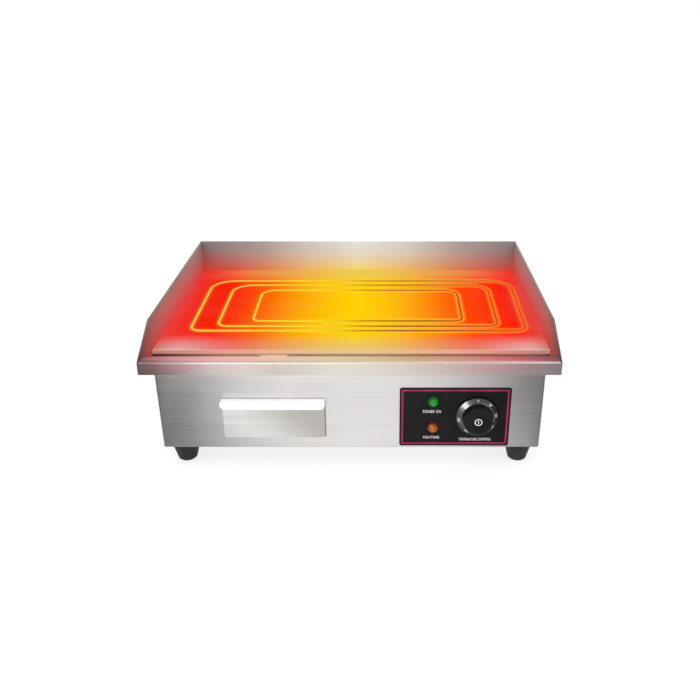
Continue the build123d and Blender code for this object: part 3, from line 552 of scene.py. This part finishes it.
# %% Drawer front finish
def drawer_finish():
    made = brushed_steel("drawer_front_stainless", "X", "#e4e3e1", "#d4d3d1", rough=0.34)
    tree = made.node_tree
    shader = tree.nodes["Principled BSDF"]
    x, y, z = own_place(tree)
    # The pull is a painted highlight: white, less metallic, and faintly light-giving at the fold.
    forward = spread(tree, y, -0.1965, -0.1950, 1.0, 0.0)
    fold = spread(tree, z, 0.1035, 0.1045)
    painted_highlight = sum_of(tree, "MAXIMUM", forward, fold)
    # Painted shade: lighter towards the bottom left, darker towards the top right.
    slope = sum_of(tree, "ADD", x, sum_of(tree, "MULTIPLY", z, 1.1))
    drawer_painted_shade = spread(tree, slope, -0.085, 0.035)
    tinted(tree, shader, mixed(tree, drawer_painted_shade, "#fbfbfa", "#c6c4c0"))
    # A painted shadow line along the cut right edge.
    painted_gap_shadow = spread(tree, x, -0.0351, -0.0346, 0.0, 0.72)
    colour_so_far = mixed(tree, painted_gap_shadow, shader.inputs["Base Color"].links[0].from_socket, "#3c3a38")
    join(tree, mixed(tree, painted_highlight, colour_so_far, "#ffffff"), shader.inputs["Base Color"])
    join(tree, spread(tree, painted_highlight, 0.0, 1.0, 1.0, 0.30, "LINEAR"), shader.inputs["Metallic"])
    join(tree, mixed(tree, fold, "#000000", "#ffffff"), shader.inputs["Emission Color"])
    shader.inputs["Emission Strength"].default_value = 0.16
    return made


drawer_steel = drawer_finish()
print("drawer finish:", drawer_steel.name)

# %% The inside of the spout, painted as lit
def spout_finish():
    made = brushed_steel("spout_sheet_painted_light", "X", "#efe4dc", "#e0d0c6", rough=0.35)
    shader = made.node_tree.nodes["Principled BSDF"]
    # The inside glows pale peach: painted light standing in for light falling into the spout.
    shader.inputs["Emission Color"].default_value = shade("#ffe2d0")
    shader.inputs["Emission Strength"].default_value = 1.05
    return made


spout_steel = spout_finish()
print("spout finish:", spout_steel.name)

# %% [markdown]
# ## Dress the CAD pieces
# Every CAD piece keeps its mesh and only gets a better finish in its material slots.  A list from finish to
# pieces shows at a glance that none was forgotten, and the cell prints any piece that was.

# %% Assign the finishes
DRESSED = [
    (plate_finish, ["griddle_plate"]),
    (side_steel, ["left_guard", "right_guard"]),
    (rear_steel, ["rear_guard"]),
    (gutter_steel, ["front_gutter"]),
    (spout_steel, ["drain_spout"]),
    (painted_shade_body_steel, ["housing_shell"]),
    (front_steel, ["drawer_tray"]),
    (back_steel, ["left_rail", "right_rail", "rear_rail", "rear_panel"]),
    (drawer_steel, ["drawer_front"]),
    (zinc_sheet, ["bottom_plate", "drawer_rail_left", "drawer_rail_right", "insulation_pan", "clamp_bars",
                  "bulb_clip"]),
    (foot_rubber, ["foot_front_left", "foot_front_right", "foot_back_left", "foot_back_right"]),
    (zinc_bright, ["foot_screws", "foot_washers", "foot_nuts", "panel_screws", "floor_screws", "lamp_nuts",
                   "thermostat_spindle", "thermostat_screws", "element_terminals", "plate_studs", "stud_nuts"]),
    (label_black, ["control_label"]),
    (skirt_black, ["dial_skirt"]),
    (knob_black, ["knob_grip", "knob_cap"]),
    (brass, ["knob_bush", "thermostat_tabs", "block_screws", "earth_stud_and_nut"]),
    (copper, ["capillary_tube", "sensing_bulb"]),
    (sheath, ["heating_element_outer", "heating_element_middle", "heating_element_inner"]),
    (ceramic, ["thermostat_body", "lamp_bodies", "terminal_block"]),
    (fibre_board, ["insulation_board"]),
    (gland_nylon, ["gland_body", "gland_cap", "gland_locknut"]),
    (seal_rubber, ["gland_seal"]),
    (brown_wire, ["wires_live"]),
    (blue_wire, ["wire_neutral"]),
    (earth_cover, ["wire_earth"]),
]
for finish, pieces in DRESSED:
    for piece in pieces:
        slots = nodes[piece].data.materials
        for index in range(len(slots)):
            slots[index] = finish
dressed = [piece for _, pieces in DRESSED for piece in pieces]
undressed = sorted(set(nodes) - set(dressed) - {"power_lamp_lens", "heat_lamp_lens"})
print("dressed", len(dressed), "pieces, left over:", undressed)

# %% [markdown]
# ## Mesh tools
# New pieces are made as closed meshes whose points already sit where the piece belongs, so every object stays
# at the origin, unturned.  Two helpers cover most of them: one sets a closed outline up as a thin plate on
# the label, the other turns lettering into a mesh before it is placed.

# %% Mesh tools
def mesh_piece(name, points, faces, finish, body):
    mesh = bpy.data.meshes.new(name)
    mesh.from_pydata(points, [], faces)
    build = bmesh.new()
    build.from_mesh(mesh)
    bmesh.ops.remove_doubles(build, verts=build.verts, dist=1e-7)
    bmesh.ops.recalc_face_normals(build, faces=build.faces)
    build.to_mesh(mesh)
    build.free()
    mesh.materials.append(finish)
    piece = bpy.data.objects.new(name, mesh)
    bpy.context.scene.collection.objects.link(piece)
    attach(piece, body)
    return piece


def rounded_outline(x0, x1, z0, z1, radius, steps=8):
    corners = [(x1 - radius, z1 - radius, 0), (x0 + radius, z1 - radius, 90),
               (x0 + radius, z0 + radius, 180), (x1 - radius, z0 + radius, 270)]
    return [(cx + radius * math.cos(math.radians(start + 90 * i / steps)),
             cz + radius * math.sin(math.radians(start + 90 * i / steps)))
            for cx, cz, start in corners for i in range(steps + 1)]


def band_faces(count):
    """Faces of a closed band whose points run outer and inner at one level, then outer and inner at the next."""
    faces = []
    for i in range(count):
        j = (i + 1) % count
        faces += [(i, j, count + j, count + i), (2 * count + i, 3 * count + i, 3 * count + j, 2 * count + j),
                  (i, 2 * count + i, 2 * count + j, j), (count + i, count + j, 3 * count + j, 3 * count + i)]
    return faces


def lettering(text, size, thick=0.00012, spacing=1.0, heavy=0.0):
    """Flat lettering as mesh points and faces, centred on the origin in X and Y, rising in Z."""
    curve = bpy.data.curves.new("lettering", "FONT")
    curve.body = text
    curve.size = size
    curve.align_x = "CENTER"
    curve.align_y = "CENTER"
    curve.space_character = spacing
    curve.extrude = thick / 2
    curve.offset = heavy
    curve.resolution_u = 4
    holder = bpy.data.objects.new("lettering", curve)
    bpy.context.scene.collection.objects.link(holder)
    bpy.context.view_layer.update()
    made = bpy.data.meshes.new_from_object(holder.evaluated_get(bpy.context.evaluated_depsgraph_get()))
    points = [tuple(v.co) for v in made.vertices]
    faces = [tuple(p.vertices) for p in made.polygons]
    bpy.data.objects.remove(holder)
    return points, faces


print("mesh tools ready")

# %% [markdown]
# ## The printed label
# The control label is black with a magenta line just inside its edge and white captions.  Print is a film of
# ink a few hundredths of a millimetre thick.  It could be painted by a mask, but real, very thin plates of
# ink keep crisp edges at any distance, and they can be given their own finish.

# %% Label frame and captions
magenta_ink = moulded("magenta_ink", "#96204c", "#841b42", 0.5, Specular_IOR_Level=0.15)
white_ink = moulded("white_ink", "#dcdce0", "#cacace", 0.5, Specular_IOR_Level=0.2)
label_low, label_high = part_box("control_label")
label_face = label_low[1]
INK = 0.00008                  # how far print stands off the surface
SUNK = 0.0001                  # how far its back goes into the surface
INK_LEVELS = (-INK, SUNK)


def label_frame(inset=0.0026, width=0.0024):
    x0, x1 = label_low[0] + inset, label_high[0] - inset
    z0, z1 = label_low[2] + inset, label_high[2] - inset
    outer = rounded_outline(x0, x1, z0, z1, 0.0022)
    inner = rounded_outline(x0 + width, x1 - width, z0 + width, z1 - width, 0.0010)
    points = []
    for y in (label_face + level for level in INK_LEVELS):
        points += [(x, y, z) for x, z in outer] + [(x, y, z) for x, z in inner]
    frame_line = mesh_piece("label_frame_line", points, band_faces(len(outer)), magenta_ink, "griddle")
    return frame_line


def caption(name, text, x, z, wide, tall):
    """Narrow lettering, drawn to a set width and height."""
    points, faces = lettering(text, 0.006, spacing=1.15, heavy=0.00003)
    across = [px for px, _, _ in points]
    upward = [py for _, py, _ in points]
    stretch = wide / (max(across) - min(across))
    rise = tall / (max(upward) - min(upward))
    middle, level = (max(across) + min(across)) / 2, (max(upward) + min(upward)) / 2
    placed = [(x + (px - middle) * stretch, label_face - pz, z + (py - level) * rise) for px, py, pz in points]
    made = mesh_piece(name, placed, faces, white_ink, "griddle")
    return made


label_line = label_frame()
captions = [
    caption("caption_power", "POWER ON", 0.1088, 0.0857, 0.0240, 0.0041),
    caption("caption_heat", "HEATING", 0.1086, 0.0460, 0.0216, 0.0041),
    caption("caption_temperature", "TEMPERATURE CONTROL", 0.1680, 0.0428, 0.0438, 0.0041),
]
print("ink plates:", [len(c.data.polygons) for c in captions])

# %% [markdown]
# ## Dial numbers and ticks
# The dial ring slopes away from the knob and carries white numbers from off round to the hottest setting.
# Flat lettering would stand off the slope, so each point of a number is bent onto the cone: its sideways
# place becomes an angle and its height becomes a place along the slope.  The ticks repeat at even steps, so
# Geometry Nodes make them, one small bar turned round the spindle again and again.

# %% Bend the numbers onto the ring
KNOB_X, KNOB_Z = 0.1693, 0.0796
ring_low, ring_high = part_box("dial_skirt")
RING_BACK = ring_high[1]
RING_OUT, RING_IN = 0.0280, 0.0210
RIM_RISE, TOP_RISE = 0.0016, 0.0042
NUMBER_RADIUS, TICK_RADIUS = 0.0247, 0.0225
TICKS, FIRST_TICK, LAST_TICK = 27, 16, 248        # how many, and the angles of the first and last in degrees


def rise_at(radius):
    return RIM_RISE + (TOP_RISE - RIM_RISE) * (RING_OUT - radius) / (RING_OUT - RING_IN)


def on_ring(angle, radius, lift):
    """A point on the sloping ring; angle runs clockwise from the top as the cook sees it."""
    return (KNOB_X + radius * math.sin(angle), RING_BACK - rise_at(radius) - lift, KNOB_Z + radius * math.cos(angle))


def dial_number(text, degrees, size=0.0046):
    points, faces = lettering(text, size, 0.0002, spacing=0.92)
    bent = [on_ring(math.radians(degrees) + px / NUMBER_RADIUS, NUMBER_RADIUS + py, 0.00002 + pz)
            for px, py, pz in points]
    made = mesh_piece("dial_number_" + text, bent, faces, white_ink, "knob")
    return made


SETTINGS = [("0", 0), ("50", 41), ("100", 82), ("150", 125), ("200", 169), ("250", 214), ("300", 261)]
numbers = [dial_number(text, degrees) for text, degrees in SETTINGS]
print("dial numbers:", len(numbers))

# %% Ticks round the dial with Geometry Nodes
def tick_tree():
    tree = bpy.data.node_groups.new("dial_ticks", "GeometryNodeTree")
    tree.interface.new_socket("Geometry", in_out="OUTPUT", socket_type="NodeSocketGeometry")
    tree.interface.new_socket("Ticks", in_out="INPUT", socket_type="NodeSocketInt").default_value = TICKS
    sizes = {"Radius": TICK_RADIUS, "Length": 0.0016, "Width": 0.0004, "Start": 0.0, "Step": 0.18, "Lean": 0.356}
    for name, value in sizes.items():
        tree.interface.new_socket(name, in_out="INPUT", socket_type="NodeSocketFloat").default_value = value
    tree.interface.new_socket("Finish", in_out="INPUT", socket_type="NodeSocketMaterial")
    enter = tree.nodes.new("NodeGroupInput")
    leave = tree.nodes.new("NodeGroupOutput")
    line = tree.nodes.new("GeometryNodeMeshLine")
    line.mode = "OFFSET"
    line.inputs["Offset"].default_value = (0, 0, 0)
    join(tree, enter.outputs["Ticks"], line.inputs["Count"])
    index = tree.nodes.new("GeometryNodeInputIndex")
    turn = sum_of(tree, "MULTIPLY", index.outputs[0], enter.outputs["Step"])
    turn = sum_of(tree, "ADD", turn, enter.outputs["Start"])
    east = sum_of(tree, "MULTIPLY", sum_of(tree, "SINE", turn), enter.outputs["Radius"])
    north = sum_of(tree, "MULTIPLY", sum_of(tree, "COSINE", turn), enter.outputs["Radius"])
    spot = tree.nodes.new("ShaderNodeCombineXYZ")
    join(tree, east, spot.inputs["X"])
    join(tree, north, spot.inputs["Y"])
    move = tree.nodes.new("GeometryNodeSetPosition")
    join(tree, line.outputs["Mesh"], move.inputs["Geometry"])
    join(tree, spot.outputs[0], move.inputs["Offset"])
    bar = tree.nodes.new("GeometryNodeMeshCube")
    size = tree.nodes.new("ShaderNodeCombineXYZ")
    join(tree, enter.outputs["Width"], size.inputs["X"])
    join(tree, enter.outputs["Length"], size.inputs["Y"])
    size.inputs["Z"].default_value = 0.0002
    join(tree, size.outputs[0], bar.inputs["Size"])
    lean = tree.nodes.new("ShaderNodeCombineXYZ")
    join(tree, sum_of(tree, "MULTIPLY", enter.outputs["Lean"], -1.0), lean.inputs["X"])
    join(tree, sum_of(tree, "MULTIPLY", turn, -1.0), lean.inputs["Z"])
    place = tree.nodes.new("GeometryNodeInstanceOnPoints")
    join(tree, move.outputs[0], place.inputs["Points"])
    join(tree, bar.outputs["Mesh"], place.inputs["Instance"])
    join(tree, lean.outputs[0], place.inputs["Rotation"])
    real = tree.nodes.new("GeometryNodeRealizeInstances")
    join(tree, place.outputs[0], real.inputs[0])
    dress = tree.nodes.new("GeometryNodeSetMaterial")
    join(tree, real.outputs[0], dress.inputs["Geometry"])
    join(tree, enter.outputs["Finish"], dress.inputs["Material"])
    join(tree, dress.outputs[0], leave.inputs[0])
    return tree


def baked(name, tree, values):
    """Run a Geometry Nodes tree once and keep only the plain mesh it makes."""
    holder = bpy.data.objects.new(name, bpy.data.meshes.new(name))
    bpy.context.scene.collection.objects.link(holder)
    modifier = holder.modifiers.new("build", "NODES")
    modifier.node_group = tree
    for item in tree.interface.items_tree:
        if item.item_type == "SOCKET" and item.in_out == "INPUT" and item.name in values:
            modifier[item.identifier] = values[item.name]
    bpy.context.view_layer.update()
    result = bpy.data.meshes.new_from_object(holder.evaluated_get(bpy.context.evaluated_depsgraph_get()))
    holder.modifiers.remove(modifier)
    holder.data = result
    return holder


def dial_ticks():
    step = (LAST_TICK - FIRST_TICK) / (TICKS - 1)
    ticks = baked("dial_ticks", tick_tree(), {"Finish": white_ink, "Start": math.radians(FIRST_TICK),
                                              "Step": math.radians(step)})
    level = RING_BACK - rise_at(TICK_RADIUS)
    turned = Matrix(((1, 0, 0, KNOB_X), (0, 0, -1, level), (0, 1, 0, KNOB_Z), (0, 0, 0, 1)))
    ticks.data.transform(turned)
    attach(ticks, "knob")
    return ticks


ticks = dial_ticks()
print("dial ticks:", len(ticks.data.polygons), "faces")

# %% [markdown]
# ## The mark on the knob
# The knob's flat face carries a small white ring with a pointer across it.  It is print on a plain cap, so it
# is two very thin raised shapes: a ring, and a tapered bar that shows which way the knob points.

# %% Ring and pointer on the cap
cap_low, cap_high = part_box("knob_cap")
CAP_FACE = cap_low[1]


def face_ring(name, r0, r1, sides=64):
    points = []
    for y in (CAP_FACE + level for level in INK_LEVELS):
        for radius in (r0, r1):
            points += [(KNOB_X + radius * math.sin(2 * math.pi * i / sides), y,
                        KNOB_Z + radius * math.cos(2 * math.pi * i / sides)) for i in range(sides)]
    ring = mesh_piece(name, points, band_faces(sides), white_ink, "knob")
    return ring


def pointer(name):
    outline = [(-0.0003, -0.0026), (0.0003, -0.0026), (0.0008, 0.0006), (0.0, 0.0029), (-0.0008, 0.0006)]
    count = len(outline)
    points = [(KNOB_X + x, CAP_FACE + level, KNOB_Z + z) for level in INK_LEVELS for x, z in outline]
    faces = [tuple(range(count)), tuple(range(2 * count - 1, count - 1, -1))]
    faces += [(i, (i + 1) % count, count + (i + 1) % count, count + i) for i in range(count)]
    made = mesh_piece(name, points, faces, white_ink, "knob")
    return made


cap_ring = face_ring("knob_mark_ring", 0.0039, 0.0051)
cap_pointer = pointer("knob_mark_pointer")
print("knob mark:", len(cap_ring.data.polygons) + len(cap_pointer.data.polygons), "faces")

# %% [markdown]
# ## Lamp lenses
# A pilot lamp's lens is a short prism of clear coloured plastic, cut inside into flats so that the small lamp
# behind it sparkles.  The CAD dome is right in size but smooth.  These lenses are built ring by ring, with
# every other point drawn in, which gives the cut facets, and they take the place of the smooth ones.

# %% Faceted lenses
def lens_finish(name, edge, middle, hot):
    made, tree, shader = new_finish(name, Roughness=0.14, IOR=1.49, Specular_IOR_Level=0.3)
    place = put(tree, "ShaderNodeTexCoord")
    centre = put(tree, "ShaderNodeMapping")
    join(tree, place.outputs["Object"], centre.inputs["Vector"])
    long = put(tree, "ShaderNodeVectorMath", operation="LENGTH")
    join(tree, centre.outputs["Vector"], long.inputs[0])
    away = spread(tree, long.outputs["Value"], 0.0, 0.0088, kind="LINEAR")
    colour = ramp_of(tree, away, [(0.0, hot), (0.45, middle), (1.0, edge)])
    cuts = grain(tree, (520.0, 520.0, 520.0), 1.0)
    colour = mixed(tree, spread(tree, cuts, 0.42, 0.60, 0.0, 0.55), colour, edge)
    join(tree, colour, shader.inputs["Base Color"])
    join(tree, colour, shader.inputs["Emission Color"])
    shader.inputs["Emission Strength"].default_value = 0.22
    raise_by(tree, shader, grain(tree, (1400.0, 1400.0, 1400.0)), 0.05, 0.0001)
    return made, centre


def cut_lens(name, node, x, z, finish):
    low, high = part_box(node)
    back, front = high[1], low[1]
    sides = 24
    rings = [(0.0080, 0.0), (0.0080, 0.0008), (0.0073, 0.0025), (0.0056, 0.0044), (0.0030, 0.0056)]
    points, faces = [], []
    for level, (radius, rise) in enumerate(rings):
        for i in range(sides):
            drawn = 0.93 if (i + level) % 2 and level > 1 else 1.0
            turn = 2 * math.pi * i / sides
            points.append((x + radius * drawn * math.sin(turn), back - rise, z + radius * drawn * math.cos(turn)))
    for level in range(len(rings) - 1):
        for i in range(sides):
            j = (i + 1) % sides
            a, b = level * sides + i, level * sides + j
            faces += [(a, b, b + sides), (a, b + sides, a + sides)]
    points += [(x, back, z), (x, front, z)]
    last = (len(rings) - 1) * sides
    for i in range(sides):
        j = (i + 1) % sides
        faces += [(j, i, len(points) - 2), (last + i, last + j, len(points) - 1)]
    made = mesh_piece(name, points, faces, finish, "griddle")
    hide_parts(node)
    return made


LAMP_X, LENS_MIDDLE_Y = 0.1103, -0.1985
GREEN_Z, AMBER_Z = 0.1012, 0.0613
green_glass, green_centre = lens_finish("green_lens", "#043209", "#0a7a1a", "#22a838")
amber_glass, amber_centre = lens_finish("amber_lens", "#3c1602", "#a04a08", "#cc701c")
for centre, z in ((green_centre, GREEN_Z), (amber_centre, AMBER_Z)):
    centre.inputs["Location"].default_value = (-LAMP_X, -LENS_MIDDLE_Y, -z)
green_lens = cut_lens("power_lens_cut", "power_lamp_lens", LAMP_X, GREEN_Z, green_glass)
amber_lens = cut_lens("heat_lens_cut", "heat_lamp_lens", LAMP_X, AMBER_Z, amber_glass)
print("lens facets:", len(green_lens.data.polygons), len(amber_lens.data.polygons))

# %% [markdown]
# ## The studio
# A product like this is shot on a white sweep under big soft lights.  The floor is a wide plain plane, a large
# panel overhead lights the plate, and the front steel mostly mirrors the floor before it.  Two dark flags,
# which only reflections can see, give the brushed front its bright middle and its darker ends, together with
# the painted shade in the body sheet's finish.

# %% Floor and light
WHITE = (1.0, 1.0, 1.0, 1.0)
sweep_paper, _, _ = new_finish("white_sweep", Roughness=0.9, Base_Color=shade("#969696"),
                               Emission_Color=WHITE, Emission_Strength=0.74)


def flat_plane(name, x0, x1, y0, y1, z, finish):
    mesh = bpy.data.meshes.new(name)
    mesh.from_pydata([(x0, y0, z), (x1, y0, z), (x1, y1, z), (x0, y1, z)], [], [(0, 1, 2, 3)])
    mesh.materials.append(finish)
    plane = bpy.data.objects.new(name, mesh)
    bpy.context.scene.collection.objects.link(plane)
    return plane


floor = flat_plane("floor", -30, 30, -30, 40, -0.0002, sweep_paper)

world = bpy.data.worlds.new("studio")
bpy.context.scene.world = world
world.use_nodes = True
world.node_tree.nodes["Background"].inputs["Color"].default_value = WHITE
world.node_tree.nodes["Background"].inputs["Strength"].default_value = 1.0


def soft_panel(name, place, aim, width, height, power):
    light = bpy.data.lights.new(name, "AREA")
    light.shape = "RECTANGLE"
    light.size = width
    light.size_y = height
    light.energy = power
    holder = bpy.data.objects.new(name, light)
    bpy.context.scene.collection.objects.link(holder)
    holder.location = place
    holder.rotation_euler = (Vector(aim) - Vector(place)).to_track_quat("-Z", "Y").to_euler()
    return holder


soft_panel("overhead_panel", (0.0, -0.1, 1.9), (0.0, 0.0, 0.1), 2.4, 1.8, 10.0)
soft_panel("knob_panel", (-0.42, -1.55, 0.10), (KNOB_X, -0.2, KNOB_Z), 0.34, 0.40, 10.0)
print("studio lights:", len(bpy.data.lights))

# %% Flags that only reflections see
BODY_FRONT = -0.1925
VIEW_X, VIEW_REACH = 0.0425, 0.8945      # the viewing point: right of the middle, and before the body front


def flag(name, sign):
    made = bpy.data.materials.new(name + "_cloth")
    made.use_nodes = True
    tree = made.node_tree
    tree.nodes.clear()
    x, y, _ = own_place(tree)
    # Where a mirrored line from this spot to the viewing point would cross the body front.
    ahead = sum_of(tree, "DIVIDE", VIEW_REACH, sum_of(tree, "SUBTRACT", VIEW_REACH + BODY_FRONT, y))
    crossing = sum_of(tree, "MULTIPLY", sum_of(tree, "SUBTRACT", x, VIEW_X), ahead)
    crossing = sum_of(tree, "ADD", crossing, VIEW_X)
    share = ramp_of(tree, sum_of(tree, "MULTIPLY", crossing, sign / 0.30),
                     [(0.0, 0.0), (0.15, 0.01), (0.30, 0.05), (0.42, 0.15), (0.52, 0.30), (0.62, 0.48), (0.70, 0.62),
                      (0.78, 0.72), (0.86, 0.80), (1.0, 0.88)])
    clear = put(tree, "ShaderNodeBsdfTransparent")
    cloth = put(tree, "ShaderNodeBsdfDiffuse")
    cloth.inputs["Color"].default_value = (0.02, 0.02, 0.02, 1.0)
    blend = put(tree, "ShaderNodeMixShader")
    out = put(tree, "ShaderNodeOutputMaterial")
    join(tree, share, blend.inputs["Fac"])
    join(tree, clear.outputs[0], blend.inputs[1])
    join(tree, cloth.outputs[0], blend.inputs[2])
    join(tree, blend.outputs[0], out.inputs["Surface"])
    inner, outer = sorted((0.0, sign * 1.6))
    card = flat_plane(name, inner, outer, -2.2, -0.215, 0.001, made)
    card.visible_camera = card.visible_diffuse = card.visible_shadow = card.visible_transmission = False
    return card


flags = [flag("left_flag", -1), flag("right_flag", 1)]
print("flags:", [f.name for f in flags])

# %% [markdown]
# ## The camera
# The view is from in front and above, about twenty-four degrees down, a little right of the middle, close
# enough that the body narrows towards the floor.

# %% Camera
lens = bpy.data.cameras.new("catalogue_view")
lens.sensor_width = 36.0
lens.lens = 39.19
lens.shift_x = -0.0464
lens.clip_start = 0.01
camera = bpy.data.objects.new("catalogue_view", lens)
bpy.context.scene.collection.objects.link(camera)
camera.location = (0.04255, -1.08706, 0.58358)
camera.rotation_euler = (math.radians(65.5), 0.0, 0.0)
bpy.context.scene.camera = camera
bpy.context.scene.view_settings.view_transform = "Standard"
print("camera at", tuple(round(v, 3) for v in camera.location))
